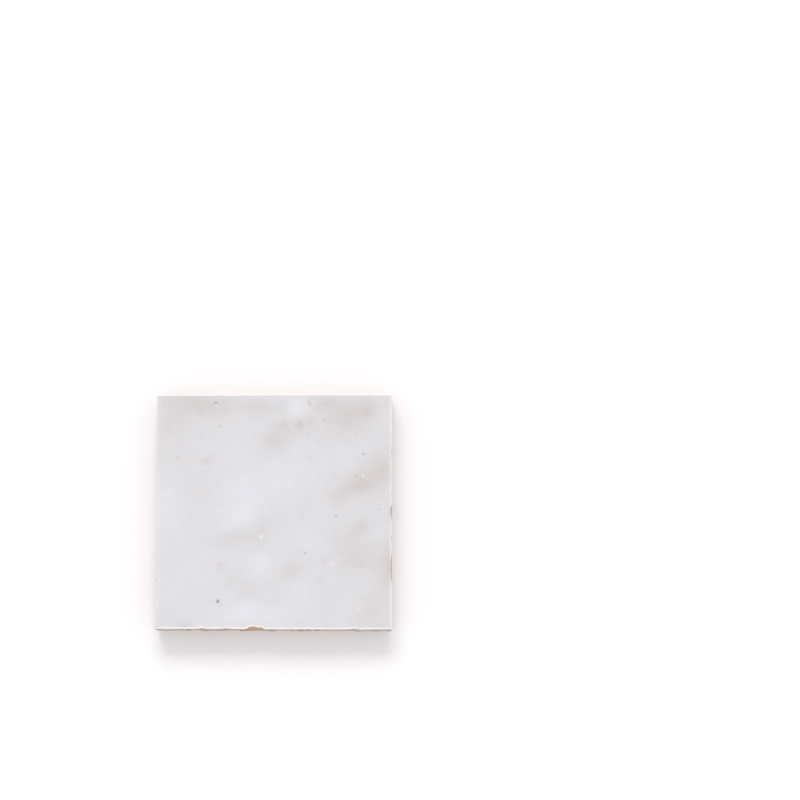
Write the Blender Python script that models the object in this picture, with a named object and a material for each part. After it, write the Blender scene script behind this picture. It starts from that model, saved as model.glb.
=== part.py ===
"""A hand-cut zellige tile: one square of fired clay with its glaze, lying on its flat back.

The glazed face is the widest part. Below a straight land the sides are dressed back with a chisel, strike by
strike, so that tiles can be laid face to face with no joint. The square is a little out of true, and the face
is gently wavy. The front edge was trimmed, which left a narrow bevel of bare clay, and it has lost a flake.

Metres, +Z up. The origin is the middle of the back. Front is -Y.
"""

import math
import random

import bmesh
import bpy
from mathutils import Matrix, Vector, noise

# The square
WIDTH = 0.100
DEPTH = 0.1004
THICKNESS = 0.011

# How far the hand cut left the square out of true
REAR_LEFT_IN = (0.0005, 0.0003)
FRONT_LEFT_IN = (0.0000, 0.0003)
BOW_OUT = {"front": 0.0000, "right": -0.0001, "rear": 0.00015, "left": 0.0002}

# The face
WAVE_DEPTH = 0.00035
WAVE_LENGTH = 0.034
FACE_STEP = 0.005
FEWEST_STEPS = 4
ARRIS = 0.0003
ARRIS_SEGMENTS = 2

# The upright corners
CORNER_ROUND = 0.0005
FRONT_LEFT_ROUND = 0.0011
CORNER_SEGMENTS = 3
CORNER_REACH = 0.00005

# The chisel strikes along the sides
LAND = 0.0024
LEAN = math.radians(8.0)
STRIKE_PITCH = 0.0072
STRIKE_BITE = 0.0005
STRIKE_SIDES = 60
ALONG_DRIFT = 0.0008
LAND_DRIFT = 0.0007
LEAN_DRIFT = math.radians(1.6)
ROLL_DRIFT = math.radians(6.0)

# The bevel that small strikes left along the front edge of the face
TRIM_WIDTH = 0.0008
TRIM_SLOPE = math.radians(45.0)
TRIM_PITCH = 0.0042
TRIM_BITE = 0.00009
TRIM_DRIFT = 0.00006

# The flakes that the strikes broke off the edge of the back
BACK_FLAKES_PER_SIDE = 3
BACK_FLAKE_LENGTH = 0.011
BACK_FLAKE_DEPTH = 0.0016
BACK_FLAKE_HEIGHT = 0.0026
SMALLEST_FLAKE_SHARE = 0.6
FLAKE_MARGIN_SHARE = 0.2

# The chips in the edge of the face: side, distance from the middle of that side, length, depth, height
CHIPS = (
    ("front", -0.0083, 0.0068, 0.00162, 0.00160),
    ("front", -0.0062, 0.0050, 0.00138, 0.00125),
    ("front", -0.0201, 0.0022, 0.00105, 0.00080),
    ("front", -0.0300, 0.0018, 0.00105, 0.00075),
    ("front", 0.0340, 0.0022, 0.00105, 0.00080),
    ("right", -0.0003, 0.0046, 0.00030, 0.00080),
    ("right", -0.0236, 0.0120, 0.00030, 0.00070),
)
CHIP_SUBDIVISIONS = 3
BACK_FLAKE_SUBDIVISIONS = 2
SCOOP_ROUGHNESS = 0.07

# Each strike's cutter reaches this many thicknesses each way from its place, and so runs out past the tile
OVERRUN = 1.5
SEED = 7

GLAZE_COLOR = (0.752, 0.738, 0.761, 1.0)
GLAZE_ROUGHNESS = 0.15
CLAY_COLOR = (0.58, 0.37, 0.25, 1.0)
CLAY_ROUGHNESS = 0.9

# A face of the mesh looks up above the first slope, and is a side below the second
LOOKS_UP = 0.9
IS_SIDE = 0.3
SHARP_ANGLE = math.radians(30.0)

SIDES = ("front", "right", "rear", "left")


def clear_scene():
    for old in list(bpy.data.objects):
        bpy.data.objects.remove(old, do_unlink=True)


def new_collection(name):
    collection = bpy.data.collections.new(name)
    bpy.context.scene.collection.children.link(collection)
    return collection


def principled(name, color, roughness):
    material = bpy.data.materials.new(name)
    material.use_nodes = True
    shader = material.node_tree.nodes["Principled BSDF"]
    shader.inputs["Base Color"].default_value = color
    shader.inputs["Roughness"].default_value = roughness
    shader.inputs["Metallic"].default_value = 0.0
    return material


def new_object(name, bm, collection, materials):
    mesh = bpy.data.meshes.new(name)
    bm.to_mesh(mesh)
    bm.free()
    mesh.shade_smooth()
    mesh.set_sharp_from_angle(angle=SHARP_ANGLE)
    for material in materials:
        mesh.materials.append(material)
    made = bpy.data.objects.new(name, mesh)
    collection.objects.link(made)
    return made


def arch(share):
    """0 at both ends of a side and 1 at its middle."""
    return 4.0 * share * (1.0 - share)


def plan_point(across, back):
    """A point of the face's outline or inside it: shares of the way left to right and front to rear."""
    half_width = WIDTH / 2.0
    half_depth = DEPTH / 2.0
    front_left = Vector((-half_width + FRONT_LEFT_IN[0], -half_depth + FRONT_LEFT_IN[1], 0.0))
    front_right = Vector((half_width, -half_depth, 0.0))
    rear_left = Vector((-half_width + REAR_LEFT_IN[0], half_depth - REAR_LEFT_IN[1], 0.0))
    rear_right = Vector((half_width, half_depth, 0.0))
    point = front_left.lerp(front_right, across).lerp(rear_left.lerp(rear_right, across), back)
    point.x += arch(back) * (BOW_OUT["right"] * across - BOW_OUT["left"] * (1.0 - across))
    point.y += arch(across) * (BOW_OUT["rear"] * back - BOW_OUT["front"] * (1.0 - back))
    return point


def edge_point(side, share):
    """A point of one side's edge, going round anticlockwise seen from above."""
    if side == "front":
        return plan_point(share, 0.0)
    if side == "right":
        return plan_point(1.0, share)
    if side == "rear":
        return plan_point(1.0 - share, 1.0)
    return plan_point(0.0, 1.0 - share)


def side_length(side):
    return (edge_point(side, 1.0) - edge_point(side, 0.0)).length


def side_frame(side, share):
    """The frame of a point on a side at the level of the back: X along the side, Y into the tile, Z up."""
    along = (edge_point(side, 1.0) - edge_point(side, 0.0)).normalized()
    up = Vector((0.0, 0.0, 1.0))
    inward = up.cross(along)
    frame = Matrix((along, inward, up)).transposed().to_4x4()
    return Matrix.Translation(edge_point(side, share)) @ frame


def wave(point):
    """The slow rise and fall of the pressed face, from about -1 to 1."""
    return noise.noise(Vector((point.x, point.y, 0.0)) / WAVE_LENGTH + Vector((0.0, 0.0, SEED)))


def steps_along(length):
    return max(FEWEST_STEPS, round(length / FACE_STEP))


def wave_limits():
    """The lowest and the highest value of the wave on the face."""
    columns = steps_along(WIDTH)
    rows = steps_along(DEPTH)
    places = [(column / columns, row / rows) for column in range(columns + 1) for row in range(rows + 1)]
    waves = [wave(plan_point(across, back)) for across, back in places]
    return min(waves), max(waves)


def face_height(point, limits):
    """How high the face lies over a point; its highest point is at the tile's thickness."""
    lowest, highest = limits
    return THICKNESS - WAVE_DEPTH * (highest - wave(point)) / (highest - lowest)


def face_sheet(limits):
    """The wavy face, as a grid over the outline."""
    bm = bmesh.new()
    bmesh.ops.create_grid(bm, x_segments=steps_along(WIDTH), y_segments=steps_along(DEPTH), size=0.5)
    for vert in bm.verts:
        vert.co = plan_point(vert.co.x + 0.5, vert.co.y + 0.5)
        vert.co.z = face_height(vert.co, limits)
    return bm


def close_to_back(bm):
    """Takes the rim of the face straight down and closes the flat back."""
    rim = [edge for edge in bm.edges if edge.is_boundary]
    made = bmesh.ops.extrude_edge_only(bm, edges=rim)["geom"]
    back_verts = [item for item in made if isinstance(item, bmesh.types.BMVert)]
    for vert in back_verts:
        vert.co.z = 0.0
    back_rim = [edge for edge in bm.edges if edge.is_boundary]
    bmesh.ops.edgeloop_fill(bm, edges=back_rim)
    bmesh.ops.recalc_face_normals(bm, faces=bm.faces)


def is_over(vert, point):
    return math.hypot(vert.co.x - point.x, vert.co.y - point.y) < CORNER_REACH


def round_corners(bm):
    """Rounds the four upright corners, the front left one more than the others."""
    for side in SIDES:
        corner = edge_point(side, 0.0)
        radius = CORNER_ROUND
        if corner.x < 0.0 and corner.y < 0.0:
            radius = FRONT_LEFT_ROUND
        upright = [edge for edge in bm.edges if all(is_over(vert, corner) for vert in edge.verts)]
        bmesh.ops.bevel(
            bm,
            geom=upright,
            offset=radius,
            segments=CORNER_SEGMENTS,
            profile=0.5,
            affect="EDGES",
        )


def soften_arris(bm):
    """Rounds the edge between the face and the sides, where the glaze rolls over."""
    rim = [
        edge
        for edge in bm.edges
        if len(edge.link_faces) == 2
        and min(face.normal.z for face in edge.link_faces) < IS_SIDE
        and max(face.normal.z for face in edge.link_faces) > LOOKS_UP
    ]
    bmesh.ops.bevel(
        bm,
        geom=rim,
        offset=ARRIS,
        segments=ARRIS_SEGMENTS,
        profile=0.5,
        affect="EDGES",
    )


def make_slab(limits, collection, materials):
    bm = face_sheet(limits)
    close_to_back(bm)
    round_corners(bm)
    soften_arris(bm)
    for face in bm.faces:
        face.material_index = 0 if face.normal.z > IS_SIDE else 1
    return new_object("zellige_tile", bm, collection, materials)


def add_cutter(name, bm, matrix, collection, clay):
    cutter = new_object(name, bm, collection, [clay])
    cutter.matrix_world = matrix
    cutter.hide_render = True
    cutter.display_type = "WIRE"


def up_by(height):
    return Matrix.Translation((0.0, 0.0, height))


def strike_radius(pitch, bite):
    """The radius of the scoop that a strike leaves, from its width and its depth."""
    return ((pitch / 2.0) ** 2 + bite**2) / (2.0 * bite)


def make_strike(name, frame, lean, radius, collection, clay):
    """One strike: a cylinder that lies along the frame's Z axis on its outer side, leaned out by an angle."""
    bm = bmesh.new()
    bmesh.ops.create_cone(
        bm,
        cap_ends=True,
        segments=STRIKE_SIDES,
        radius1=radius,
        radius2=radius,
        depth=2.0 * OVERRUN * THICKNESS,
    )
    matrix = frame @ Matrix.Rotation(lean, 4, "X") @ Matrix.Translation((0.0, -radius, 0.0))
    add_cutter(name, bm, matrix, collection, clay)


def dress_sides(collection, clay, drift):
    """Strikes side by side along all four sides, each a little off its place, that bite below the land."""
    radius = strike_radius(STRIKE_PITCH, STRIKE_BITE)
    for side in SIDES:
        length = side_length(side)
        strikes = max(1, round(length / STRIKE_PITCH))
        for index in range(strikes):
            share = (index + 0.5) / strikes + ALONG_DRIFT / length * drift.uniform(-1.0, 1.0)
            top = THICKNESS - LAND + LAND_DRIFT * drift.uniform(-1.0, 1.0)
            lean = LEAN + LEAN_DRIFT * drift.uniform(-1.0, 1.0)
            roll = ROLL_DRIFT * drift.uniform(-1.0, 1.0)
            frame = side_frame(side, share) @ up_by(top) @ Matrix.Rotation(roll, 4, "Y")
            make_strike(f"strike_{side}_{index:02d}", frame, lean, radius, collection, clay)


def trim_front_edge(limits, collection, clay, drift):
    """Small strikes along the front edge, each one slanting from the face down to the side."""
    radius = strike_radius(TRIM_PITCH, TRIM_BITE)
    strikes = max(1, round(side_length("front") / TRIM_PITCH))
    lean = TRIM_SLOPE - math.radians(90.0)
    for index in range(strikes):
        frame = side_frame("front", (index + 0.5) / strikes)
        width = TRIM_WIDTH + TRIM_DRIFT * drift.uniform(-1.0, 1.0)
        foot = face_height(frame.translation, limits) - width * math.tan(TRIM_SLOPE)
        make_strike(f"trim_{index:02d}", frame @ up_by(foot), lean, radius, collection, clay)


def make_scoop(name, frame, size, subdivisions, drift, collection, clay):
    """A flake's hollow: a rough squashed ball, its length along X, depth along Y and height along Z."""
    bm = bmesh.new()
    bmesh.ops.create_icosphere(bm, subdivisions=subdivisions, radius=1.0)
    for vert in bm.verts:
        vert.co *= 1.0 + SCOOP_ROUGHNESS * drift.uniform(-1.0, 1.0)
    bmesh.ops.scale(bm, vec=(size[0] / 2.0, size[1], size[2]), verts=bm.verts)
    add_cutter(name, bm, frame, collection, clay)


def chip_face_edge(limits, collection, clay, drift):
    """The chips along the edge of the face, each a hollow centred on the arris."""
    for index, (side, place, length, depth, height) in enumerate(CHIPS):
        frame = side_frame(side, 0.5 + place / side_length(side))
        frame = frame @ up_by(face_height(frame.translation, limits))
        size = (length, depth, height)
        make_scoop(f"chip_{index}", frame, size, CHIP_SUBDIVISIONS, drift, collection, clay)


def flake_back_edge(collection, clay, drift):
    """Larger flakes along the edge of the back, where the blows came out."""
    for side in SIDES:
        for index in range(BACK_FLAKES_PER_SIDE):
            place = drift.uniform(FLAKE_MARGIN_SHARE, 1.0 - FLAKE_MARGIN_SHARE)
            share = (index + place) / BACK_FLAKES_PER_SIDE
            share_of_size = drift.uniform(SMALLEST_FLAKE_SHARE, 1.0)
            inset = (THICKNESS - LAND) * math.tan(LEAN)
            frame = side_frame(side, share) @ Matrix.Translation((0.0, inset, 0.0))
            frame = frame @ Matrix.Rotation(ROLL_DRIFT * drift.uniform(-1.0, 1.0), 4, "Y")
            size = share_of_size * Vector((BACK_FLAKE_LENGTH, BACK_FLAKE_DEPTH, BACK_FLAKE_HEIGHT))
            name = f"flake_{side}_{index}"
            make_scoop(name, frame, size, BACK_FLAKE_SUBDIVISIONS, drift, collection, clay)


def cut(tile, cutters):
    modifier = tile.modifiers.new("dressed edges", "BOOLEAN")
    modifier.operation = "DIFFERENCE"
    modifier.operand_type = "COLLECTION"
    modifier.collection = cutters
    modifier.solver = "EXACT"
    modifier.material_mode = "TRANSFER"


def main():
    clear_scene()
    part = new_collection("zellige_tile")
    cutters = new_collection("cutters")
    glaze = principled("glaze", GLAZE_COLOR, GLAZE_ROUGHNESS)
    clay = principled("fired_clay", CLAY_COLOR, CLAY_ROUGHNESS)
    drift = random.Random(SEED)
    limits = wave_limits()
    tile = make_slab(limits, part, [glaze, clay])
    dress_sides(cutters, clay, drift)
    trim_front_edge(limits, cutters, clay, drift)
    chip_face_edge(limits, cutters, clay, drift)
    flake_back_edge(cutters, clay, drift)
    cut(tile, cutters)


main()
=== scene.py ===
# %% [markdown]
# # A hand-cut zellige tile
#
# Zellige is a square of clay that is pressed by hand, dipped in glaze on one face, fired, and cut to size
# with a chisel. No two are the same: the face is wavy, the glaze is cloudy, and the edges are chipped. The
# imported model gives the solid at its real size, in metres, lying on its back with +Z up. This lesson takes
# that solid as its frame and makes the surface: the glaze, the bare clay below it, and the light that they
# are seen in.

# %% Load the frame
import math

import bmesh
import bpy
import numpy as np
from mathutils import Euler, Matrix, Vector, noise
from mathutils.bvhtree import BVHTree
from mathutils.kdtree import KDTree


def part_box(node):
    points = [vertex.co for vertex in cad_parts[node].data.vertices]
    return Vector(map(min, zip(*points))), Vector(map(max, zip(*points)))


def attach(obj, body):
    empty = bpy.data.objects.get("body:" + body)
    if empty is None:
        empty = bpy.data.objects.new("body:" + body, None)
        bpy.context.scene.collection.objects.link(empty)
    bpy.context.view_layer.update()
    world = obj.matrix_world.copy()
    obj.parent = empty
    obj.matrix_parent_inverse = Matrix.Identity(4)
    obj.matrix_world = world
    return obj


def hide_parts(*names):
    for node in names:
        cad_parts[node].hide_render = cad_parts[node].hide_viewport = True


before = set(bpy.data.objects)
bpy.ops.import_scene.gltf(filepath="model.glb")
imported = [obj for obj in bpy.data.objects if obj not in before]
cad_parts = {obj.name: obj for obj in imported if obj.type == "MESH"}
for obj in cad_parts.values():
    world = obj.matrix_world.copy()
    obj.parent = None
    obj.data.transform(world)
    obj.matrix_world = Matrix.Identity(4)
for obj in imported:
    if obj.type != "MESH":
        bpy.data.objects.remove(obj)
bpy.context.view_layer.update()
scene = bpy.context.scene
scene.view_settings.view_transform = "Standard"
MM = 0.001
NODE = "zellige_tile"
LOW, HIGH = [np.array(corner, dtype=float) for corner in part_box(NODE)]
print("the solid in mm, from", np.round(LOW / MM, 2), "to", np.round(HIGH / MM, 2))

# %% [markdown]
# ## The camera
# The photograph was taken from almost straight above, from well over a metre away: the square's sides stay
# nearly parallel. A long lens on a far camera gives that, where a near camera would make the front edge
# wider. The lens isn't guessed. Its focal length follows from how many pixels one metre of the face takes
# up, and how far away the camera stands. The tile isn't in the middle of the picture, so the camera aims at
# a point beyond its corner.

# %% Camera
TILT = math.radians(6.3)
DISTANCE = 1.45
PIXELS_PER_METRE = 2356.0
PICTURE_PIXELS = 800.0
SENSOR_MM = 36.0
AIM = Vector((0.05337, 0.04777, HIGH[2]))


def add_camera():
    data = bpy.data.cameras.new("copy_stand_camera")
    data.sensor_width = SENSOR_MM
    data.lens = SENSOR_MM * PIXELS_PER_METRE * DISTANCE / PICTURE_PIXELS
    data.clip_start = 0.01
    camera = bpy.data.objects.new("copy_stand_camera", data)
    camera.location = AIM + DISTANCE * Vector((0.0, -math.sin(TILT), math.cos(TILT)))
    camera.rotation_euler = (TILT, 0.0, 0.0)
    scene.collection.objects.link(camera)
    scene.camera = camera
    return camera


camera = add_camera()
print(f"lens {camera.data.lens:.1f} mm, {DISTANCE} m from the face")

# %% [markdown]
# ## The light
# The shadow tells where the light is. It is wide in front of the tile, with a soft end, and narrow at both
# sides, a little narrower on the left. So one large soft lamp stands behind the tile and a little to its
# left, about 40 degrees up. The shadow is pale, so the room gives most of the light from all round, more of
# it from the bright walls low down than from overhead. Together they light a level surface at about 1,
# where a colour renders about as it is written. The lamp stands far off and is as large as a window would
# be there, since a near one would light the paper unevenly.

# %% Lamp and room
LAMP_ELEVATION = math.radians(39.5)
LAMP_TO_THE_LEFT = math.radians(7.0)
LAMP_DISTANCE = 6.0
LAMP_SIZE = (3.6, 2.3)
LAMP_WATTS = 199.0
ROOM_AT_FLOOR = 1.04
ROOM_OVERHEAD = 0.60


def add_lamp():
    data = bpy.data.lights.new("soft_window", "AREA")
    data.shape = "RECTANGLE"
    data.size = LAMP_SIZE[0]
    data.size_y = LAMP_SIZE[1]
    data.energy = LAMP_WATTS
    lamp = bpy.data.objects.new("soft_window", data)
    towards_window = Euler((LAMP_ELEVATION, 0.0, LAMP_TO_THE_LEFT))
    lamp.location = Vector((0.0, LAMP_DISTANCE, 0.0))
    lamp.location.rotate(towards_window)
    lamp.rotation_euler = (LAMP_ELEVATION - math.pi / 2.0, 0.0, LAMP_TO_THE_LEFT)
    scene.collection.objects.link(lamp)


def light_room():
    world = bpy.data.worlds.new("pale_room")
    world.use_nodes = True
    nodes = world.node_tree.nodes
    links = world.node_tree.links
    background = nodes["Background"]
    background.inputs["Color"].default_value = (1.0, 1.0, 1.0, 1.0)
    direction = nodes.new("ShaderNodeTexCoord")
    parts = nodes.new("ShaderNodeSeparateXYZ")
    links.new(direction.outputs["Generated"], parts.inputs["Vector"])
    strength = nodes.new("ShaderNodeMapRange")
    strength.inputs["To Min"].default_value = ROOM_AT_FLOOR
    strength.inputs["To Max"].default_value = ROOM_OVERHEAD
    links.new(parts.outputs["Z"], strength.inputs["Value"])
    links.new(strength.outputs["Result"], background.inputs["Strength"])
    scene.world = world


add_lamp()
light_room()
print(f"lamp {LAMP_WATTS} W, {math.degrees(LAMP_ELEVATION):.1f} degrees up")
print(f"the room from {ROOM_AT_FLOOR} at the floor to {ROOM_OVERHEAD} overhead")

# %% [markdown]
# ## The floor
# The tile lies on white paper that shows as pure white, yet keeps the tile's shadow. More light would
# bleach the glaze too, so the paper gets a faint glow of its own instead, only for rays from the camera and
# in reflections. The glow is no brighter than that, or it would hide the faint shadow behind the tile. Its
# colour leans a little to pink, as the shadow in the photograph does.

# %% Floor
FLOOR_WIDTH = 4.0
FLOOR_DROP = 0.0001
PAPER = (0.75, 0.75, 0.75, 1.0)
PAPER_GLOW = (0.99, 0.91, 0.99, 1.0)
GLOW_STRENGTH = 0.25


def paper_material():
    material = bpy.data.materials.new("white_paper")
    material.use_nodes = True
    nodes = material.node_tree.nodes
    links = material.node_tree.links
    shader = nodes["Principled BSDF"]
    shader.inputs["Base Color"].default_value = PAPER
    shader.inputs["Roughness"].default_value = 1.0
    shader.inputs["Specular IOR Level"].default_value = 0.0
    shader.inputs["Emission Color"].default_value = PAPER_GLOW
    path = nodes.new("ShaderNodeLightPath")
    seen = nodes.new("ShaderNodeMath")
    seen.operation = "MAXIMUM"
    links.new(path.outputs["Is Camera Ray"], seen.inputs[0])
    links.new(path.outputs["Is Glossy Ray"], seen.inputs[1])
    glow = nodes.new("ShaderNodeMath")
    glow.operation = "MULTIPLY"
    glow.inputs[1].default_value = GLOW_STRENGTH
    links.new(seen.outputs["Value"], glow.inputs[0])
    links.new(glow.outputs["Value"], shader.inputs["Emission Strength"])
    return material


def add_floor():
    bm = bmesh.new()
    bmesh.ops.create_grid(bm, x_segments=1, y_segments=1, size=FLOOR_WIDTH / 2.0)
    bmesh.ops.translate(bm, vec=(0.0, 0.0, -FLOOR_DROP), verts=bm.verts)
    mesh = bpy.data.meshes.new("floor")
    bm.to_mesh(mesh)
    bm.free()
    mesh.materials.append(paper_material())
    floor = bpy.data.objects.new("floor", mesh)
    scene.collection.objects.link(floor)


add_floor()
print(f"floor {FLOOR_WIDTH} m wide")

# %% [markdown]
# ## The blank
# The tile is one lump of fired clay, so it is one mesh. The solid has the right shape, but few and uneven
# triangles, and they would show as flat spots in a shiny glaze. Subdividing it would round its edges away,
# and a voxel remesh would spend its faces evenly, with too few at the edges. Here a box of even quads is
# laid round the solid, with closer grid lines along the edge of the face, most of all at the trimmed front
# edge, and each of its points is then shot inwards on to it.

# %% Grid lines
FACE_STEP = 0.75 * MM
SIDE_STEP = 0.4 * MM
RIM_LINES = np.array((0.0, 0.12, 0.25, 0.4, 0.6, 0.9)) * MM
FRONT_LINES = np.array((0.0, 0.15, 0.3, 0.45, 0.6, 0.7, 0.8, 0.9, 1.05, 1.2, 1.4, 1.6, 1.9)) * MM
BACK_LINES = np.array((0.0, 0.25)) * MM


def grid_lines(low, high, step, low_rim, high_rim):
    """Lines from low to high: close ones at the given distances from each end, and even steps between."""
    inner_low = low + low_rim[-1]
    inner_high = high - high_rim[-1]
    middle = np.linspace(inner_low, inner_high, round((inner_high - inner_low) / step) + 1)
    return np.concatenate([low + low_rim[:-1], middle, high - high_rim[:-1][::-1]])


x_lines = grid_lines(LOW[0], HIGH[0], FACE_STEP, RIM_LINES, RIM_LINES)
y_lines = grid_lines(LOW[1], HIGH[1], FACE_STEP, FRONT_LINES, RIM_LINES)
z_lines = grid_lines(LOW[2], HIGH[2], SIDE_STEP, BACK_LINES, RIM_LINES)
print("grid lines along X, Y and Z:", len(x_lines), len(y_lines), len(z_lines))


# %% Box of quads
def sheet_quads(sheet, turned):
    corners = [sheet[:-1, :-1], sheet[1:, :-1], sheet[1:, 1:], sheet[:-1, 1:]]
    if turned:
        corners.reverse()
    return np.stack([corner.ravel() for corner in corners], axis=1)


def box_shell(xs, ys, zs):
    """The surface of a box as points and outward quads, and each grid point's number, -1 inside it."""
    number = np.full((len(xs), len(ys), len(zs)), -1)
    on_surface = np.ones(number.shape, dtype=bool)
    on_surface[1:-1, 1:-1, 1:-1] = False
    number[on_surface] = np.arange(on_surface.sum())
    everywhere = np.stack(np.meshgrid(xs, ys, zs, indexing="ij"), axis=-1)
    quads = [
        sheet_quads(number[:, :, -1], False),
        sheet_quads(number[:, :, 0], True),
        sheet_quads(number[:, 0, :], False),
        sheet_quads(number[:, -1, :], True),
        sheet_quads(number[-1, :, :], False),
        sheet_quads(number[0, :, :], True),
    ]
    return everywhere[on_surface], np.concatenate(quads), number


box_points, box_quads, number = box_shell(x_lines, y_lines, z_lines)
print("points and quads:", len(box_points), len(box_quads))

# %% [markdown]
# ### On to the solid
# A ray needs a start and a direction. On the flats the direction is straight in. Towards an edge it turns
# by degrees to the diagonal, so that the rays of the face and of the side share a chip between them instead
# of crossing in it. The lower sides lean in, so the box is drawn in there first to bring it near the solid.

# %% Shoot the box on to the solid
LAND = 2.4 * MM
LEAN = math.radians(8.0)
WRAP = 2.2 * MM
STAND_OFF = 1.5 * MM
LONGEST_RAY = 6.0 * MM
MIDDLE = (LOW + HIGH) / 2.0
HALF = (HIGH - LOW) / 2.0


def inward_directions(points):
    wall_distance = HALF - np.abs(points - MIDDLE)
    weight = np.clip(1.0 - wall_distance / WRAP, 0.0, 1.0) * np.sign(MIDDLE - points)
    return weight / np.linalg.norm(weight, axis=1, keepdims=True)


def drawn_in(points):
    below = np.clip(HIGH[2] - LAND - points[:, 2], 0.0, None)
    share = 1.0 - below * math.tan(LEAN) / HALF[0]
    leaned = points.copy()
    leaned[:, :2] = MIDDLE[:2] + (points[:, :2] - MIDDLE[:2]) * share[:, None]
    return leaned


def solid_tree():
    mesh = bpy.data.objects[NODE].data
    corners = [vertex.co.copy() for vertex in mesh.vertices]
    faces = [tuple(polygon.vertices) for polygon in mesh.polygons]
    return BVHTree.FromPolygons(corners, faces)


def shoot(points, directions, tree):
    placed = np.empty_like(points)
    missed = 0
    for index, (point, direction) in enumerate(zip(points, directions)):
        hit = tree.ray_cast(Vector(point - STAND_OFF * direction), Vector(direction), LONGEST_RAY)[0]
        if hit is None:
            hit = tree.find_nearest(Vector(point))[0]
            missed += 1
        placed[index] = hit
    return placed, missed


solid = solid_tree()
points, missed = shoot(drawn_in(box_points), inward_directions(box_points), solid)
print("rays that missed and took the nearest point:", missed)

# %% [markdown]
# ### A face without facets
# The solid's face is made of flat squares, 5 mm wide. Averaging each height with its neighbours many times
# melts them into a smooth wave. Only the change in height is used, carried out level over the outermost
# strip, so that the rounded edge and the chips keep their shape.

# %% Smooth the wave of the face
EDGE_STRIP = 2.2 * MM
AVERAGING_PASSES = 60


def neighbour_average(heights):
    padded = np.pad(heights, 1, mode="edge")
    around = padded[:-2, 1:-1] + padded[2:, 1:-1] + padded[1:-1, :-2] + padded[1:-1, 2:]
    return 0.5 * heights + 0.125 * around


def smooth_face(points):
    """Smooths the face's heights in place and returns them, level across the strip along the edges."""
    sheet = number[:, :, -1]
    heights = points[sheet, 2]
    inside_x = np.flatnonzero((x_lines > LOW[0] + EDGE_STRIP) & (x_lines < HIGH[0] - EDGE_STRIP))
    inside_y = np.flatnonzero((y_lines > LOW[1] + EDGE_STRIP) & (y_lines < HIGH[1] - EDGE_STRIP))
    nearest_x = np.clip(np.arange(len(x_lines)), inside_x[0], inside_x[-1])
    nearest_y = np.clip(np.arange(len(y_lines)), inside_y[0], inside_y[-1])
    carried = heights[np.ix_(nearest_x, nearest_y)]
    smooth = carried
    for _ in range(AVERAGING_PASSES):
        smooth = neighbour_average(smooth)
    points[sheet, 2] = heights + smooth - carried
    return smooth


wave = smooth_face(points)
print(f"the smooth wave runs from {wave.min() / MM:.2f} to {wave.max() / MM:.2f} mm above the back")

# %% [markdown]
# ## What is in the glaze
# The glaze is milky, and its colour follows its thickness: thick glaze is a cool, bright white, and thin
# glaze lets the pink clay show through. Small bubbles burst in the kiln and left pits, iron in the clay
# bled through as reddish dots, and grains of undissolved white stayed as bright ones. These are read from
# the photograph, in millimetres from the middle of the tile, and kept as short lists of places. A
# noise texture alone could make such marks, but not these ones.

# %% Marks: each is x, y, half width, half length, turn in degrees, amount
CLOUDS = (
    (-4.0, 12.2, 24.0, 8.0, 20.0, 0.30),
    (-46.0, 0.2, 7.0, 15.0, 0.0, 0.24),
    (-12.8, -1.1, 9.0, 6.0, 30.0, 0.28),
    (-8.0, -42.8, 14.0, 5.0, 0.0, 0.30),
    (-5.4, -21.5, 5.0, 5.0, 0.0, 0.20),
    (-34.0, -27.8, 13.0, 8.0, 30.0, 0.12),
    (10.7, -33.2, 5.0, 5.0, 0.0, 0.15),
    (15.7, -11.3, 6.0, 4.0, 20.0, 0.12),
    (42.0, -9.8, 5.0, 4.0, 0.0, 0.14),
    (-36.0, 47.2, 16.0, 5.0, 0.0, -0.42),
    (-25.0, 43.7, 8.0, 4.5, 0.0, -0.28),
    (22.0, 46.2, 8.0, 6.0, 0.0, -0.42),
    (37.0, 43.7, 8.0, 6.0, 0.0, -0.42),
    (29.5, 41.5, 6.0, 4.0, 0.0, -0.14),
    (7.0, 36.2, 8.0, 3.5, 0.0, -0.34),
    (30.0, 36.2, 14.0, 7.0, 0.0, -0.22),
    (45.5, 18.6, 6.0, 9.0, -20.0, -0.47),
    (36.0, 12.0, 8.0, 5.0, 25.0, -0.60),
    (26.5, 5.7, 6.0, 4.0, 30.0, -0.25),
    (48.5, -23.8, 3.5, 11.0, 0.0, -0.42),
    (42.0, -19.8, 8.0, 12.0, 0.0, -0.26),
    (36.5, -6.3, 5.0, 3.5, 35.0, -0.28),
    (31.0, -15.8, 7.0, 8.0, 0.0, -0.18),
    (8.0, -24.3, 6.0, 4.0, 25.0, -0.24),
    (0.5, 30.7, 6.0, 4.5, 0.0, -0.28),
    (-15.0, -10.8, 10.0, 3.5, 8.0, -0.26),
    (-5.5, -6.3, 3.5, 5.0, 0.0, -0.18),
    (-12.0, -31.8, 10.0, 4.0, -30.0, -0.18),
    (42.0, -43.3, 9.0, 6.0, 0.0, -0.22),
    (-42.0, 24.2, 10.0, 7.0, 0.0, -0.14),
    (-42.0, 38.2, 10.0, 8.0, 0.0, -0.18),
    (-29.0, 5.2, 6.0, 8.0, 0.0, -0.12),
    (-37.2, -47.8, 3.0, 1.4, 0.0, -0.34),
    (33.0, -18.0, 5.0, 9.0, 0.0, -0.10),
    (-5.0, 44.2, 10.0, 4.0, 0.0, -0.14),
)
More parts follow.
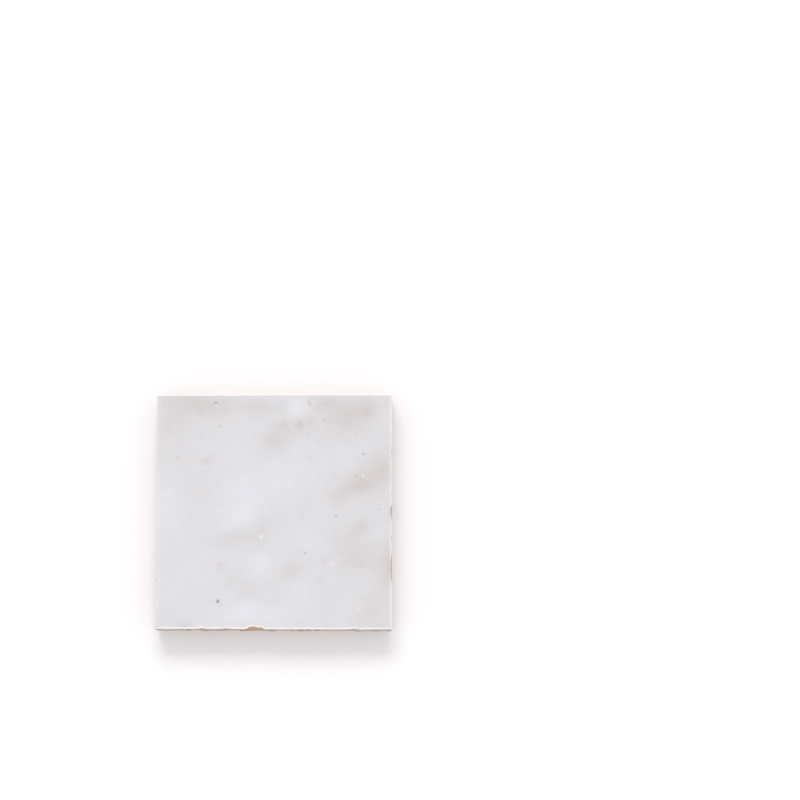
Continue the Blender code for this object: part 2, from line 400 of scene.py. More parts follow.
SMOKE = (
    (0.3, 30.5, 4.8, 3.6, 0.0, 0.36),
    (-5.5, 45.0, 9.0, 4.0, 0.0, 0.28),
    (36.8, -6.2, 4.5, 2.2, 35.0, 0.22),
    (-15.7, -10.6, 9.0, 3.0, 5.0, 0.10),
    (-5.4, -6.8, 2.5, 3.5, 0.0, 0.14),
    (-43.0, 37.8, 8.0, 6.0, 0.0, 0.20),
    (16.3, 23.1, 3.0, 2.5, 0.0, 0.14),
    (-22.0, 46.7, 8.0, 2.5, 0.0, 0.10),
    (30.0, 37.2, 14.0, 7.0, 0.0, 0.14),
    (31.0, -15.8, 7.0, 9.0, 0.0, 0.08),
    (-4.0, 12.2, 8.0, 4.0, 20.0, 0.14),
    (38.0, 9.7, 3.0, 2.6, 20.0, 0.14),
)
IRON_DOTS = (
    (3.8, 37.2, 1.6, 1.6, 0.0, 0.34),
    (10.8, 37.5, 1.8, 1.5, 0.0, 0.54),
    (16.0, 39.0, 1.6, 1.2, 0.0, 0.22),
    (22.1, 45.2, 2.4, 1.8, 0.0, 0.16),
    (40.0, 44.2, 3.4, 3.6, 0.0, 0.27),
    (39.6, 42.4, 1.4, 1.4, 0.0, 0.12),
    (-31.3, 43.0, 2.6, 3.4, 0.0, 0.20),
    (-20.5, 42.2, 2.2, 3.0, 0.0, 0.12),
    (-28.3, 22.0, 2.8, 1.8, 0.0, 0.26),
    (-22.5, -22.8, 1.8, 1.6, 0.0, 0.32),
    (21.4, -20.8, 1.9, 1.5, 0.0, 0.28),
    (6.8, -24.4, 3.2, 2.2, 30.0, 0.08),
    (-22.9, -38.8, 0.9, 0.7, 0.0, 0.25),
    (37.0, 10.7, 3.6, 2.6, 20.0, 0.08),
    (31.0, 9.2, 3.4, 1.8, 20.0, 0.10),
    (46.5, 17.2, 2.8, 5.5, -20.0, 0.07),
    (49.3, -21.8, 1.5, 6.0, 0.0, 0.24),
    (49.6, -0.3, 0.8, 3.0, 0.0, 0.60),
    (37.5, -22.1, 2.2, 1.8, 0.0, 0.14),
)
WHITE_GRAINS = (
    (-5.2, -10.6, 0.85, 0.85, 0.0, 1.00),
    (17.0, 28.4, 0.95, 0.80, 30.0, 0.55),
    (24.1, -21.9, 1.30, 0.65, 25.0, 0.48),
    (36.2, -40.8, 0.75, 0.60, 0.0, 0.60),
    (37.6, 15.4, 0.80, 0.80, 0.0, 0.55),
    (-17.2, 8.5, 0.80, 0.80, 0.0, 0.20),
    (11.3, 8.6, 0.90, 0.80, 0.0, 0.25),
    (-24.0, -34.3, 0.90, 0.70, 0.0, 0.40),
    (14.0, -18.2, 0.50, 0.40, 0.0, 0.40),
)
PITS = (
    (-23.5, -37.8, 0.62, 0.80, -45.0, 0.92),
    (-24.8, 46.5, 0.80, 0.55, 0.0, 0.54),
    (37.9, 24.5, 0.75, 0.60, 10.0, 0.43),
    (26.4, -1.6, 0.70, 0.60, 10.0, 0.40),
    (13.2, -17.4, 0.90, 0.45, -25.0, 0.40),
    (14.9, 46.3, 0.45, 1.30, 20.0, 0.40),
    (35.0, 15.2, 0.70, 0.60, 0.0, 0.30),
    (36.8, 14.2, 0.70, 0.40, -15.0, 0.30),
    (44.5, 1.1, 0.65, 0.55, 0.0, 0.28),
    (-15.9, 43.6, 0.60, 0.90, 20.0, 0.20),
    (-22.9, 36.4, 0.55, 0.75, 0.0, 0.20),
    (21.3, 39.2, 0.80, 0.80, 0.0, 0.20),
    (13.7, 32.0, 0.60, 0.80, 20.0, 0.20),
    (-41.1, 23.1, 1.10, 0.90, 0.0, 0.20),
    (42.3, -24.8, 0.70, 0.80, 0.0, 0.20),
    (-46.3, 29.4, 0.60, 0.60, 0.0, 0.14),
    (-49.6, -28.8, 0.45, 0.70, 0.0, 0.30),
    (42.0, -42.4, 0.80, 0.70, 0.0, 0.10),
)
THICK_SPOT = (10.0, 44.6, 4.3, 3.9, 0.0, 1.0)
FRESH_BREAK = (-8.0, -49.4, 4.6, 2.0, 0.0, 1.0)
print("marks:", len(CLOUDS + SMOKE + IRON_DOTS + WHITE_GRAINS + PITS))


# %% Field of a mark
def field(points, mark, power=2.0):
    """A mark's strength at each point: its amount in the middle, fading outwards."""
    x, y, half_width, half_length, turn, amount = mark
    across = points[:, 0] / MM - x
    along = points[:, 1] / MM - y
    angle = math.radians(turn)
    u = (across * math.cos(angle) + along * math.sin(angle)) / half_width
    v = (along * math.cos(angle) - across * math.sin(angle)) / half_length
    return amount * np.exp(-((u * u + v * v) ** (power / 2.0)))


def total(points, marks):
    return sum(field(points, mark) for mark in marks)


# %% [markdown]
# ### More faces where they are needed
# A grain under a millimetre wide needs closer points than the rest of the face, and so does broken clay.
# Only the quads round each small mark, along the front edge and on the sides are subdivided, which costs a
# tenth of what a finer grid would. Quads with an extra corner on one edge are left between, and are made
# into triangles.

# %% Make the mesh and refine it
LOOKS_UP = 0.7
MARK_REACH = 1.9
MARK_CUTS = 3
LEVEL_RUN = 0.3
BROKEN_STRIP = 2.0 * MM


def make_mesh(points, quads):
    mesh = bpy.data.meshes.new("fired_tile")
    mesh.from_pydata(points.tolist(), [], quads.tolist())
    mesh.update()
    return mesh


def faces_near_marks(bm):
    marks = np.array([mark[:4] for mark in PITS + WHITE_GRAINS])
    chosen = []
    for face in bm.faces:
        centre = face.calc_center_median()
        if face.normal.z > LOOKS_UP:
            far = np.hypot(marks[:, 0] - centre.x / MM, marks[:, 1] - centre.y / MM)
            if (far < MARK_REACH * marks[:, 2:].max(axis=1)).any():
                chosen.append(face)
    return chosen


def level_edges_of_sides(bm):
    chosen = set()
    for face in bm.faces:
        if abs(face.normal.z) < LOOKS_UP:
            for edge in face.edges:
                run = edge.verts[1].co - edge.verts[0].co
                if abs(run.z) < LEVEL_RUN * run.length:
                    chosen.add(edge)
    return chosen


def edges_along_front(bm):
    chosen = set()
    for edge in bm.edges:
        start, end = [vertex.co for vertex in edge.verts]
        in_strip = max(start.y, end.y) < LOW[1] + BROKEN_STRIP and min(start.z, end.z) > MIDDLE[2]
        if in_strip and abs(end.x - start.x) > 0.5 * FACE_STEP:
            chosen.add(edge)
    return chosen


tile_mesh = make_mesh(points, box_quads)
bm = bmesh.new()
bm.from_mesh(tile_mesh)
level_edges = list(level_edges_of_sides(bm) | edges_along_front(bm))
bmesh.ops.subdivide_edges(bm, edges=level_edges, cuts=1)
mark_edges = list({edge for face in faces_near_marks(bm) for edge in face.edges})
bmesh.ops.subdivide_edges(bm, edges=mark_edges, cuts=MARK_CUTS, use_grid_fill=True)
bmesh.ops.triangulate(bm, faces=[face for face in bm.faces if len(face.verts) > 4])
bm.to_mesh(tile_mesh)
bm.free()
print("faces after refining:", len(tile_mesh.polygons))

# %% [markdown]
# ## Where each point lies
# The points are read into one array, moved together and written back, which is much quicker than one at a
# time. What happens to a point follows from where it lies: how far in from the nearest side, how far below
# the face, and which way the surface looks there.

# %% Measure the points
SIDES = ("front", "right", "rear", "left")
FLAT_FROM = (0.5, 0.9)


def read_vectors(collection, name):
    flat = np.empty(len(collection) * 3)
    collection.foreach_get(name, flat)
    return flat.reshape(-1, 3)


def smooth_step(values, low, high):
    share = np.clip((values - low) / (high - low), 0.0, 1.0)
    return share * share * (3.0 - 2.0 * share)


def rough(points, size, layers, offset):
    """Layered noise at each point, from about -1 to 1, with features of the given size."""
    start = Vector((offset, -offset, 2.0 * offset))
    return np.array([noise.fractal(Vector(point) / size + start, 1.0, 2.0, layers) for point in points])


def wave_height(points):
    """The height of the smooth face above each point, read between the grid lines."""
    column = np.interp(points[:, 0], x_lines, np.arange(len(x_lines)))
    row = np.interp(points[:, 1], y_lines, np.arange(len(y_lines)))
    left = np.minimum(column.astype(int), len(x_lines) - 2)
    near = np.minimum(row.astype(int), len(y_lines) - 2)
    across = column - left
    along = row - near
    near_edge = wave[left, near] * (1.0 - across) + wave[left + 1, near] * across
    far_edge = wave[left, near + 1] * (1.0 - across) + wave[left + 1, near + 1] * across
    return near_edge * (1.0 - along) + far_edge * along


surface = read_vectors(tile_mesh.vertices, "co")
normals = read_vectors(tile_mesh.vertex_normals, "vector")
to_low = surface - LOW
to_high = HIGH - surface
walls = np.stack([to_low[:, 1], to_high[:, 0], to_high[:, 1], to_low[:, 0]])
nearest_side = walls.argmin(axis=0)
inset = walls.min(axis=0) / MM
depth = (wave_height(surface) - surface[:, 2]) / MM
upward = smooth_step(normals[:, 2], *FLAT_FROM)
downward = smooth_step(-normals[:, 2], *FLAT_FROM)
print("points on the face:", int((upward > 0.5).sum()), "and on the back:", int((downward > 0.5).sum()))

# %% [markdown]
# ### Where the glaze ends
# The glaze stops near the edge of the face, but not in the same place everywhere: on the left some of it
# ran over. Along the front, the trimmed bevel and the chips are bare wherever they cut below the glaze, and
# a tree of points finds how far each point is from the nearest cut one. The shallow chips on the other
# sides are nicks in the line where the glaze ends. The result is one number per point, in millimetres:
# above zero is bare clay, below zero is glaze, and the line between the two can then be drawn in the
# material finer than the mesh is.

# %% Distance past the glaze line, in mm
GLAZE_ENDS = {"front": -0.30, "right": 0.15, "rear": 0.35, "left": 1.0}
GLAZE_WANDERS = {"front": 0.20, "right": 0.55, "rear": 0.45, "left": 0.6}
WANDER_LENGTH = 4.0 * MM
WANDER_STRETCH = (1.0, 1.0, 0.2)
ARRIS = 0.3
GLAZE_SKIN = 0.10
CUT_SEARCH = 4.0
CUTS_REACH = 2.0 * MM
# A painted highlight: near each edge of the face the glaze is painted paler, with a width and a strength for
# each side
RIM_HIGHLIGHT_WIDTHS = {"front": 1.2, "right": 1.1, "rear": 0.9, "left": 2.4}
RIM_HIGHLIGHT_STRENGTHS = {"front": 1.0, "right": 0.75, "rear": 0.5, "left": 0.17}
EDGE_NICKS = (
    (49.6, -24.3, 0.8, 6.5, 0.0, 0.62),
    (49.8, -0.6, 0.8, 2.6, 0.0, 0.7),
    (49.8, 17.7, 0.8, 6.0, 0.0, 0.25),
    (-49.9, -28.8, 0.8, 0.9, 0.0, 1.3),
)


def distances(points, others):
    """How far each point is from the nearest of the others, in mm."""
    tree = KDTree(len(others))
    for index, other in enumerate(others):
        tree.insert(other, index)
    tree.balance()
    return np.array([tree.find(point)[2] for point in points]) / MM


def past_cut():
    """How far each point lies inside a cut, and below zero how far outside it."""
    in_front = nearest_side == SIDES.index("front")
    can_be_cut = (walls[0] < CUTS_REACH) & (in_front | (inset > ARRIS + GLAZE_SKIN))
    cut = can_be_cut & (depth > GLAZE_SKIN)
    near = (depth < CUT_SEARCH) & (inset < CUT_SEARCH)
    result = np.where(cut, CUT_SEARCH, -CUT_SEARCH)
    result[near & cut] = distances(surface[near & cut], surface[near & ~cut])
    result[near & ~cut] = -distances(surface[near & ~cut], surface[near & cut])
    return result


def past_rim():
    """How far each point lies past the line that the glaze would end at if nothing were cut."""
    over_edge = np.where(upward > 0.5, -inset, np.maximum(depth - ARRIS, 0.0))
    line = np.array([GLAZE_ENDS[side] for side in SIDES])[nearest_side]
    swing = np.array([GLAZE_WANDERS[side] for side in SIDES])[nearest_side]
    wander = rough(surface * WANDER_STRETCH, WANDER_LENGTH, layers=3, offset=3.7)
    return over_edge - line - swing * wander + total(surface, EDGE_NICKS)


def painted_rim_highlight():
    """How strongly a highlight is painted near each edge of the face, as a paler glaze colour."""
    width = np.array([RIM_HIGHLIGHT_WIDTHS[side] for side in SIDES])[nearest_side]
    strength = np.array([RIM_HIGHLIGHT_STRENGTHS[side] for side in SIDES])[nearest_side]
    past_edge = np.where(upward > 0.5, np.maximum(-inset, in_cut), 0.0)
    return strength * smooth_step(past_edge / width, -1.0, -0.3)


in_cut = past_cut()
bare = np.maximum(in_cut, past_rim())
print("share of the points on bare clay:", round(float((bare > 0.0).mean()), 2))

# %% [markdown]
# ## Relief
# The face was beaten flat by hand, so it still has a slow swell. The thick spot of glaze stands up like a
# drop, the white grains are bumps, and each pit is a small crater with a raised lip. Below the glaze line
# the clay is torn, and the back has the drag marks of the board that the clay was struck off with. These
# points only ever move inwards, so that the tile keeps the size of the solid.

# %% Raise and lower the surface
# Depths and heights are in mm, and the sizes of the noise in metres
SWELL = 0.035
SWELL_SIZE = 9.0 * MM
SPOT_HEIGHT = 0.14
GRAIN_HEIGHT = 0.06
PIT_DEPTH = 0.42
LIP_HEIGHT = 0.025
LIP_PLACE = 1.5
LIP_WIDTH = 0.45
RIM_DROP = 0.15
TEAR_DEPTH = 0.34
TEAR_SIZE = 2.2 * MM
BACK_DEPTH = 0.22
BACK_SIZE = 7.0 * MM
DRAG_DEPTH = 0.28
DRAG_SIZE = 2.6 * MM
DRAG_STRETCH = (0.12, 1.0, 1.0)


def lips(points, marks):
    """A ring round each mark, just outside it."""
    ring = np.zeros(len(points))
    for mark in marks:
        distance = np.sqrt(-np.log(np.clip(field(points, mark[:5] + (1.0,)), 1e-30, 1.0)))
        ring += mark[5] * np.exp(-(((distance - LIP_PLACE) / LIP_WIDTH) ** 2))
    return ring


def face_relief(points):
    relief = SWELL * rough(points, SWELL_SIZE, layers=2, offset=11.0) * smooth_step(inset, 0.5, 4.0)
    relief += SPOT_HEIGHT * field(points, THICK_SPOT, 3.0)
    relief += GRAIN_HEIGHT * total(points, WHITE_GRAINS)
    relief -= PIT_DEPTH * total(points, PITS)
    relief += LIP_HEIGHT * lips(points, PITS)
    return relief


def clay_relief(points):
    torn = 0.5 + 0.5 * rough(points, TEAR_SIZE, layers=4, offset=5.0)
    uneven = np.clip(0.5 + 0.8 * rough(points, BACK_SIZE, layers=3, offset=8.0), 0.0, 1.0)
    streaks = rough(points * DRAG_STRETCH, DRAG_SIZE, layers=3, offset=21.0)
    dragged = smooth_step(streaks, 0.05, 0.7)
    side = -TEAR_DEPTH * torn * (1.0 - downward)
    back = -(BACK_DEPTH * uneven + DRAG_DEPTH * dragged) * downward
    return (side + back) * smooth_step(bare, -0.1, 0.4)


def rim_drop():
    """The broken clay at the edge of the face lies lower than the glaze does."""
    return RIM_DROP * smooth_step(bare, 0.0, 0.12) * (depth < 1.0) * (in_cut < 0.0)


relief = face_relief(surface) * upward * (bare < 0.2) + clay_relief(surface)
surface = surface + normals * relief[:, None] * MM
surface[:, 2] -= rim_drop() * MM
surface[:, 2] = np.clip(surface[:, 2], 0.0, None)
surface[:, 2] *= HIGH[2] / surface[:, 2].max()
tile_mesh.vertices.foreach_set("co", surface.ravel())
tile_mesh.update()
print(f"relief from {relief.min():.2f} to {relief.max():.2f} mm")

# %% [markdown]
# ## What the material needs to know
# A material can only look up what is stored on the mesh. Each field becomes an attribute: one number per
# point, kept with the geometry, so no picture and no UV map is needed. A cut is stained down to a ragged
# line below the bevel, and the fresh break reaches a little further down.

# %% Store the fields
CLOUD_STRENGTH = 1.12
SPOT_STRENGTH = 0.42
STAIN_RAGGED = 0.45
STAIN_RAGGED_SIZE = 2.5 * MM
STAIN_ENDS = (0.8, 1.3)
FRESH_ENDS = (1.4, 2.2)


def store(name, values):
    attribute = tile_mesh.attributes.new(name, "FLOAT", "POINT")
    attribute.data.foreach_set("value", np.ascontiguousarray(values, dtype=np.float32))


clouds = CLOUD_STRENGTH * total(surface, CLOUDS) + SPOT_STRENGTH * field(surface, THICK_SPOT, 3.0)
ragged_depth = depth + STAIN_RAGGED * rough(surface, STAIN_RAGGED_SIZE, layers=3, offset=31.0)
store("bare", bare)
# The share of the painted highlight along the edges of the face
store("rim", painted_rim_highlight())
store("cut", smooth_step(in_cut, -0.1, 0.1) * (1.0 - smooth_step(ragged_depth, *STAIN_ENDS)))
store("fresh", field(surface, FRESH_BREAK, 4.0) * (1.0 - smooth_step(depth, *FRESH_ENDS)))
store("cloud", clouds)
store("smoke", total(surface, SMOKE))
store("iron", total(surface, IRON_DOTS))
store("grain", total(surface, WHITE_GRAINS))
# The pit share also tells the material where to paint shade into the pits
store("pit", total(surface, PITS))
store("back", downward)
print("stored:", [stored.name for stored in tile_mesh.attributes if stored.data_type == "FLOAT"])

# %% [markdown]
# ## The material
# Glaze and clay are one fired lump, so they are one material that changes at the glaze line. The glaze is
# glossy outside its pits, and its colour goes from a pinkish beige where it is thin to a cool white where
# it is thick, by the stored clouds and some noise on top. The clay is matt and grainy, and the back has
# pale streaks of the dust that kept it from sticking to the board. All textures use object coordinates, so
# they are in metres.

# %% Helpers for the nodes
NOISE_SPAN = (0.3, 0.7)


def add_node(tree, kind, settings, inputs):
    """A node with its settings and inputs set; a value may be a number, a colour or another socket."""
    node = tree.nodes.new(kind)
    for name, value in settings.items():
        setattr(node, name, value)
    for name, value in inputs.items():
        if isinstance(value, bpy.types.NodeSocket):
            tree.links.new(value, node.inputs[name])
        else:
            node.inputs[name].default_value = value
    return node


def attribute(tree, name):
    return add_node(tree, "ShaderNodeAttribute", {"attribute_name": name}, {}).outputs["Fac"]


def calculate(tree, operation, first, second):
    node = add_node(tree, "ShaderNodeMath", {"operation": operation}, {0: first, 1: second})
    return node.outputs["Value"]


def ramp(tree, value, low, high, out_low=0.0, out_high=1.0):
    inputs = {"Value": value, "From Min": low, "From Max": high, "To Min": out_low, "To Max": out_high}
    return add_node(tree, "ShaderNodeMapRange", {}, inputs).outputs["Result"]


def blend(tree, share, first, second):
    """Mixes two colours."""
    mix = tree.nodes.new("ShaderNodeMix")
    mix.data_type = "RGBA"
    for index, value in ((0, share), (6, first), (7, second)):
        if isinstance(value, bpy.types.NodeSocket):
            tree.links.new(value, mix.inputs[index])
        else:
            mix.inputs[index].default_value = value
    return mix.outputs[2]


def mapped(tree, vector, change, value):
    """Turns or scales the space that a texture is looked up in."""
    return add_node(tree, "ShaderNodeMapping", {}, {"Vector": vector, change: value}).outputs["Vector"]


def grain(tree, vector, size, detail, roughness=0.5):
    """Noise with features of about the given size, from 0 to 1 but mostly within NOISE_SPAN."""
    scale = calculate(tree, "DIVIDE", 1.0, size)
    inputs = {"Vector": vector, "Scale": scale, "Detail": detail, "Roughness": roughness}
    return add_node(tree, "ShaderNodeTexNoise", {}, inputs).outputs["Fac"]


# %% Glaze and clay in one material
GLAZE_THIN = (0.622, 0.568, 0.548, 1.0)
GLAZE_MIDDLE = (0.713, 0.700, 0.727, 1.0)
GLAZE_THICK = (0.782, 0.778, 0.842, 1.0)
IRON_RED = (0.57, 0.44, 0.45, 1.0)
SMOKE_GREY = (0.58, 0.56, 0.58, 1.0)
UNDISSOLVED_WHITE = (0.82, 0.81, 0.84, 1.0)
# The colour of the painted highlight along the edges of the face
RIM_HIGHLIGHT_CREAM = (0.90, 0.87, 0.85, 1.0)
# The colour of the painted shade in the pits of the glaze and the pores of the clay
HOLLOW_SHADE = (0.32, 0.26, 0.24, 1.0)
CLAY_LIGHT = (0.57, 0.41, 0.31, 1.0)
CLAY_DARK = (0.45, 0.31, 0.23, 1.0)
CLAY_SAND = (0.64, 0.51, 0.41, 1.0)
CLAY_DUSTED = (0.70, 0.58, 0.49, 1.0)
CLAY_FRESH = (0.74, 0.52, 0.40, 1.0)
CLAY_GRIMY = (0.36, 0.30, 0.26, 1.0)
CLAY_STAINED = (0.77, 0.65, 0.62, 1.0)
STREAK_TURN = math.radians(35.0)
GLAZE_ROUGHNESS = (0.10, 0.19)
PIT_EDGE = (0.012, 0.020)
PIT_ROUGHNESS = 0.9
CLAY_ROUGHNESS = 0.92
PEEL_HEIGHT = 0.012 * MM
GRIT_HEIGHT = 0.5 * MM


def glaze_colour(tree, place):
    turned = mapped(tree, place, "Rotation", (0.0, 0.0, -STREAK_TURN))
    streaked = mapped(tree, turned, "Scale", (0.7, 1.0, 1.0))
    broad = ramp(tree, grain(tree, streaked, 8.0 * MM, 4.0, 0.6), *NOISE_SPAN, -0.11, 0.11)
    narrow = ramp(tree, grain(tree, place, 1.8 * MM, 3.0, 0.6), *NOISE_SPAN, -0.10, 0.10)
    thickness = calculate(tree, "ADD", attribute(tree, "cloud"), calculate(tree, "ADD", broad, narrow))
    thin_or_middle = blend(tree, ramp(tree, thickness, -0.9, 0.0), GLAZE_THIN, GLAZE_MIDDLE)
    colour = blend(tree, ramp(tree, thickness, 0.0, 0.55), thin_or_middle, GLAZE_THICK)
    colour = blend(tree, attribute(tree, "smoke"), colour, SMOKE_GREY)
    colour = blend(tree, attribute(tree, "iron"), colour, IRON_RED)
    colour = blend(tree, attribute(tree, "grain"), colour, UNDISSOLVED_WHITE)
    # Painted highlight: the glaze is paler along the edges of the face
    colour = blend(tree, attribute(tree, "rim"), colour, RIM_HIGHLIGHT_CREAM)
    # Painted shade: the pits of the glaze are darkened towards this colour
    return blend(tree, attribute(tree, "pit"), colour, HOLLOW_SHADE)


def clay_colour(tree, place):
    patches = ramp(tree, grain(tree, place, 16.0 * MM, 6.0, 0.6), *NOISE_SPAN)
    colour = blend(tree, patches, CLAY_DARK, CLAY_LIGHT)
    mottle = ramp(tree, grain(tree, place, 2.5 * MM, 4.0, 0.6), 0.40, 0.65, 0.0, 0.5)
    colour = blend(tree, mottle, colour, CLAY_DARK)
    streaks = mapped(tree, place, "Scale", (0.3, 1.0, 1.0))
    dust = ramp(tree, grain(tree, streaks, 8.0 * MM, 5.0, 0.65), 0.48, 0.66, 0.0, 0.6)
    colour = blend(tree, calculate(tree, "MULTIPLY", dust, attribute(tree, "back")), colour, CLAY_DUSTED)
    grime = calculate(tree, "MULTIPLY", ramp(tree, attribute(tree, "bare"), 0.8, 1.6, 1.0, 0.0), patches)
    colour = blend(tree, grime, colour, CLAY_GRIMY)
    speckle = ramp(tree, grain(tree, place, 0.6 * MM, 3.0, 0.6), 0.60, 0.70, 0.0, 0.8)
    colour = blend(tree, speckle, colour, CLAY_SAND)
    uneven = ramp(tree, grain(tree, place, 3.0 * MM, 2.0), *NOISE_SPAN, 0.5, 1.0)
    stain = calculate(tree, "MULTIPLY", attribute(tree, "cut"), uneven)
    colour = blend(tree, stain, colour, CLAY_STAINED)
    colour = blend(tree, attribute(tree, "fresh"), colour, CLAY_FRESH)
    # Painted shade: the pores of the clay are darkened
    return blend(tree, ramp(tree, attribute(tree, "pore"), 0.0, 1.0, 0.0, 0.55), colour, HOLLOW_SHADE)


def fired_material():
    material = bpy.data.materials.new("glazed_clay")
    material.use_nodes = True
    tree = material.node_tree
    shader = tree.nodes["Principled BSDF"]
    place = add_node(tree, "ShaderNodeTexCoord", {}, {}).outputs["Object"]
    fringe = ramp(tree, grain(tree, place, 0.5 * MM, 3.0), *NOISE_SPAN, -0.12, 0.12)
    clay = ramp(tree, calculate(tree, "ADD", attribute(tree, "bare"), fringe), -0.03, 0.03)
    colour = blend(tree, clay, glaze_colour(tree, place), clay_colour(tree, place))
    tree.links.new(colour, shader.inputs["Base Color"])
    gloss = ramp(tree, grain(tree, place, 12.0 * MM, 2.0), *NOISE_SPAN, *GLAZE_ROUGHNESS)
    gloss = ramp(tree, attribute(tree, "pit"), *PIT_EDGE, gloss, PIT_ROUGHNESS)
    tree.links.new(ramp(tree, clay, 0.0, 1.0, gloss, CLAY_ROUGHNESS), shader.inputs["Roughness"])
    peel = ramp(tree, grain(tree, place, 2.2 * MM, 2.0), 0.0, 1.0, 0.0, PEEL_HEIGHT)
    grit = ramp(tree, grain(tree, place, 1.1 * MM, 6.0, 0.7), 0.0, 1.0, 0.0, GRIT_HEIGHT)
    height = add_node(tree, "ShaderNodeMix", {}, {0: clay, 2: peel, 3: grit}).outputs[0]
    bump = add_node(tree, "ShaderNodeBump", {}, {"Strength": 1.0, "Distance": 1.0, "Height": height})
    tree.links.new(bump.outputs["Normal"], shader.inputs["Normal"])
    return material


glazed_clay = fired_material()
print("nodes in the material:", len(glazed_clay.node_tree.nodes))

# %% [markdown]
# ## Pores, with Geometry Nodes
# Fired clay is full of holes that air and bits of straw left, and there are far too many to place by hand.
# A node tree scatters points on the bare clay only, gives each one a size of its own, most of them small,
# and sinks the surface round it. A pore's radius is no larger than its distance from the glaze, whose edge
# stays whole. Sinking the one surface keeps the tile watertight, where small spheres cut out or stuck on
# would not. The seed is fixed, so every run gives the same tile.

# %% Node tree for the pores
CLEAR_OF_GLAZE = 0.4
SMALL_ONES_POWER = 3.0
PORE_FLOOR_SHARE = 0.2


def input_socket(tree, name, kind, value=None):
    socket = tree.interface.new_socket(name, in_out="INPUT", socket_type=kind)
    if value is not None:
        socket.default_value = value


def named_number(tree, name):
    node = add_node(tree, "GeometryNodeInputNamedAttribute", {"data_type": "FLOAT"}, {"Name": name})
    return node.outputs["Attribute"]


def pore_tree():
    tree = bpy.data.node_groups.new("clay_pores", "GeometryNodeTree")
    input_socket(tree, "Geometry", "NodeSocketGeometry")
    input_socket(tree, "Spacing", "NodeSocketFloat", 1.0 * MM)
    input_socket(tree, "Pores per square metre", "NodeSocketFloat", 100000.0)
    input_socket(tree, "Smallest radius", "NodeSocketFloat", 0.3 * MM)
    input_socket(tree, "Largest radius", "NodeSocketFloat", 0.9 * MM)
    input_socket(tree, "Depth share", "NodeSocketFloat", 0.5)
    input_socket(tree, "Wobble size", "NodeSocketFloat", 1.0 * MM)
    input_socket(tree, "Seed", "NodeSocketInt", 3)
    input_socket(tree, "Material", "NodeSocketMaterial")
    tree.interface.new_socket("Geometry", in_out="OUTPUT", socket_type="NodeSocketGeometry")
    given = tree.nodes.new("NodeGroupInput").outputs

    bare = named_number(tree, "bare")
    on_clay = add_node(tree, "FunctionNodeCompare", {"operation": "GREATER_THAN"}, {
        0: bare,
        1: CLEAR_OF_GLAZE,
    })
    scatter = add_node(tree, "GeometryNodeDistributePointsOnFaces", {"distribute_method": "POISSON"}, {
        "Mesh": given["Geometry"],
        "Selection": on_clay.outputs["Result"],
        "Distance Min": given["Spacing"],
        "Density Max": given["Pores per square metre"],
        "Seed": given["Seed"],
    })
    draw = add_node(tree, "FunctionNodeRandomValue", {"data_type": "FLOAT"}, {"Seed": given["Seed"]})
    mostly_small = calculate(tree, "POWER", draw.outputs[1], SMALL_ONES_POWER)
    drawn_radius = ramp(tree, mostly_small, 0.0, 1.0, given["Smallest radius"], given["Largest radius"])
    room = calculate(tree, "MULTIPLY", bare, MM)
    sized = add_node(tree, "GeometryNodeStoreNamedAttribute", {"data_type": "FLOAT", "domain": "POINT"}, {
        "Geometry": scatter.outputs["Points"],
        "Name": "pore_radius",
        "Value": calculate(tree, "MINIMUM", drawn_radius, room),
    }).outputs["Geometry"]

    nearest = add_node(tree, "GeometryNodeSampleNearest", {"domain": "POINT"}, {"Geometry": sized})
    radius = add_node(tree, "GeometryNodeSampleIndex", {"data_type": "FLOAT", "domain": "POINT"}, {
        "Geometry": sized,
        "Value": named_number(tree, "pore_radius"),
        "Index": nearest.outputs["Index"],
    }).outputs["Value"]
    proximity = add_node(tree, "GeometryNodeProximity", {"target_element": "POINTS"}, {0: sized})
    position = tree.nodes.new("GeometryNodeInputPosition").outputs["Position"]
    wobble = ramp(tree, grain(tree, position, given["Wobble size"], 2.0), *NOISE_SPAN, -0.5, 0.5)
    wobbled = calculate(tree, "MULTIPLY", wobble, radius)
    distance = calculate(tree, "ADD", proximity.outputs["Distance"], wobbled)
    pore = add_node(tree, "ShaderNodeMapRange", {"interpolation_type": "SMOOTHSTEP"}, {
        "Value": distance,
        "From Min": calculate(tree, "MULTIPLY", radius, PORE_FLOOR_SHARE),
        "From Max": radius,
        "To Min": 1.0,
        "To Max": 0.0,
    }).outputs["Result"]

    sink = calculate(tree, "MULTIPLY", calculate(tree, "MULTIPLY", pore, radius), given["Depth share"])
    inwards = calculate(tree, "MULTIPLY", sink, -1.0)
    normal = tree.nodes.new("GeometryNodeInputNormal").outputs["Normal"]
    offset = add_node(tree, "ShaderNodeVectorMath", {"operation": "SCALE"}, {
        "Vector": normal,
        "Scale": inwards,
    })
    sunk = add_node(tree, "GeometryNodeSetPosition", {}, {
        "Geometry": given["Geometry"],
        "Offset": offset.outputs["Vector"],
    })
    # The pore share is kept for the material, which paints shade into the pores with it
    marked = add_node(tree, "GeometryNodeStoreNamedAttribute", {"data_type": "FLOAT", "domain": "POINT"}, {
        "Geometry": sunk.outputs["Geometry"],
        "Name": "pore",
        "Value": pore,
    })
    real = add_node(tree, "GeometryNodeRealizeInstances", {}, {"Geometry": marked.outputs["Geometry"]})
    covered = add_node(tree, "GeometryNodeSetMaterial", {}, {
        "Geometry": real.outputs["Geometry"],
        "Material": given["Material"],
    })
    result = tree.nodes.new("NodeGroupOutput")
    tree.links.new(covered.outputs["Geometry"], result.inputs["Geometry"])
    return tree


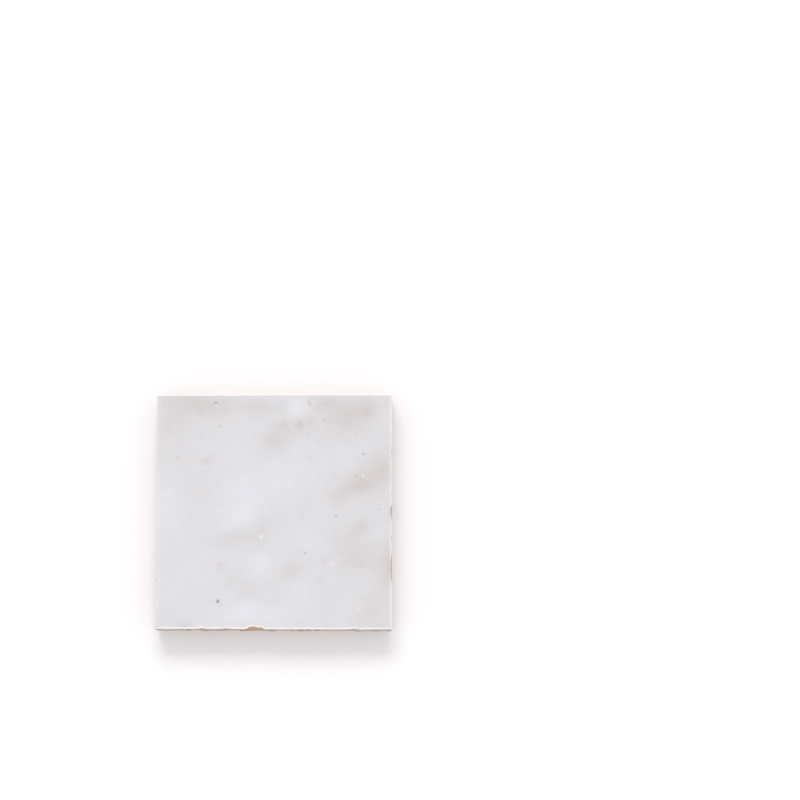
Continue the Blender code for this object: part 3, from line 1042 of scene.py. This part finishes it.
pores = pore_tree()
print("nodes in the pore tree:", len(pores.nodes))

# %% Sink the pores and keep the result
PORES = {
    "Spacing": 1.3 * MM,
    "Pores per square metre": 90000.0,
    "Smallest radius": 0.45 * MM,
    "Largest radius": 1.70 * MM,
    "Depth share": 0.60,
    "Wobble size": 1.1 * MM,
    "Seed": 3,
    "Material": glazed_clay,
}


def add_pores(piece, tree, values):
    modifier = piece.modifiers.new("clay_pores", "NODES")
    modifier.node_group = tree
    for socket in tree.interface.items_tree:
        if socket.in_out == "INPUT" and socket.name in values:
            modifier[socket.identifier] = values[socket.name]


def keep_in_box(mesh):
    """Holds every point inside the solid's box, so that the tile keeps its size and its flat back."""
    places = read_vectors(mesh.vertices, "co")
    mesh.vertices.foreach_set("co", np.clip(places, LOW, HIGH).ravel())
    mesh.update()


def bake(piece):
    """Puts what the modifiers make in the place of the piece's own mesh."""
    depsgraph = bpy.context.evaluated_depsgraph_get()
    evaluated = piece.evaluated_get(depsgraph)
    baked = bpy.data.meshes.new_from_object(evaluated, preserve_all_data_layers=True, depsgraph=depsgraph)
    piece.modifiers.clear()
    old = piece.data
    piece.data = baked
    bpy.data.meshes.remove(old)
    baked.name = piece.name


piece = bpy.data.objects.new("fired_tile", tile_mesh)
scene.collection.objects.link(piece)
add_pores(piece, pores, PORES)
bake(piece)
keep_in_box(piece.data)
pore_values = np.empty(len(piece.data.vertices), dtype=np.float32)
piece.data.attributes["pore"].data.foreach_get("value", pore_values)
print("points in a pore:", int((pore_values > 0.0).sum()), "of", len(pore_values))

# %% [markdown]
# ## Shading
# Smooth shading hides the small quads, and where two of them meet at a steep angle, in a chip or a strike
# of the chisel, the edge stays sharp.

# %% Shade and hand over
SHARP_ANGLE = math.radians(50.0)
mesh = piece.data
mesh.shade_smooth()
mesh.set_sharp_from_angle(angle=SHARP_ANGLE)
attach(piece, "root")
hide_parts(NODE)
triangles = sum(len(polygon.vertices) - 2 for polygon in mesh.polygons)
print("triangles:", triangles)
